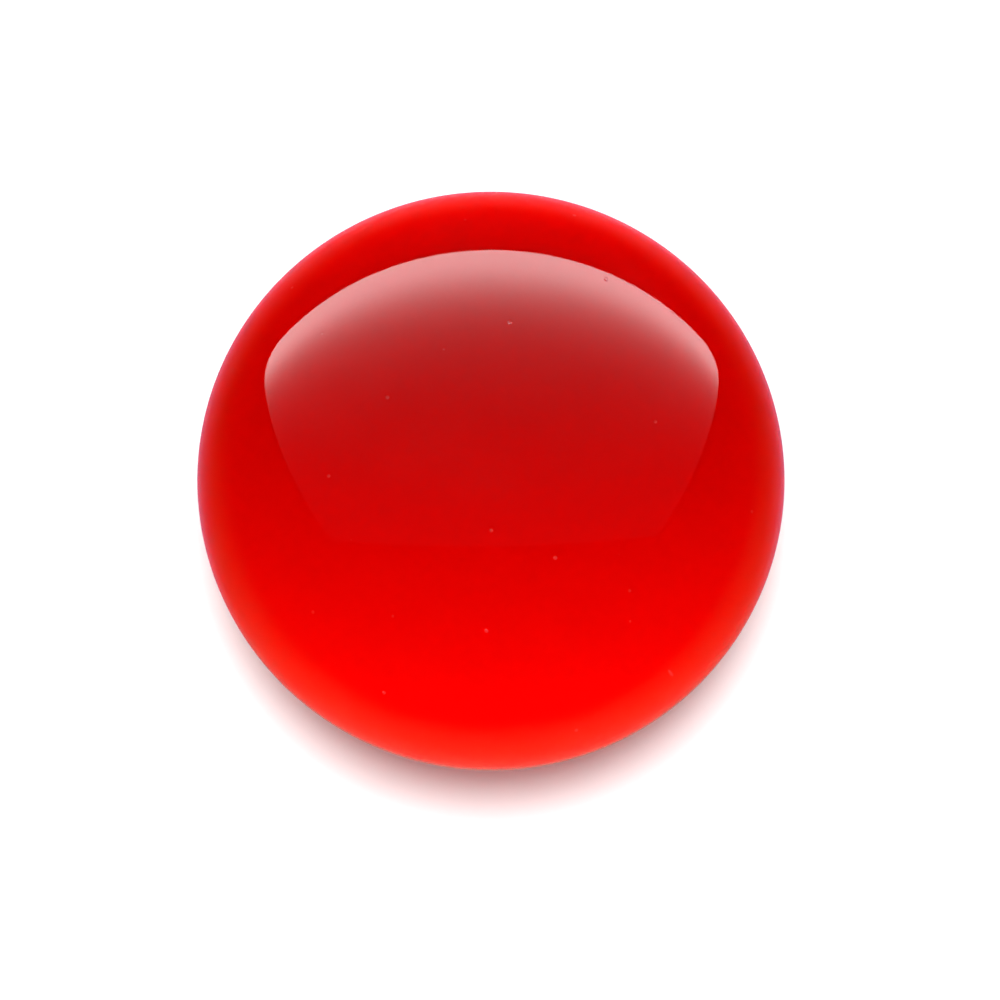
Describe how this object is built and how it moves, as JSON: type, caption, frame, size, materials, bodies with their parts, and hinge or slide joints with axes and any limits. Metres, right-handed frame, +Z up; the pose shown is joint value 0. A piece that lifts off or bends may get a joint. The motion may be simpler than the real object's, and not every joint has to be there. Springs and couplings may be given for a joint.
{
  "type": "case opening friction ball",
  "caption": "Flattened ball of sticky, clear red gel on a broad flat foot, pressed on a screwed watch case back and twisted by hand to open it.",
  "frame": {"origin": "centre of the flat foot, on the surface that the ball rests on", "axes": "+Z up through the middle of the crown, along the axis that the ball is round about; X and Y are interchangeable"},
  "size_m": [0.065, 0.065, 0.0275],
  "materials": {
    "gel": "clear red gel, glossy and tacky"
  },
  "bodies": {
    "root": {"gel_body": "gel"}
  },
  "joints": []
}
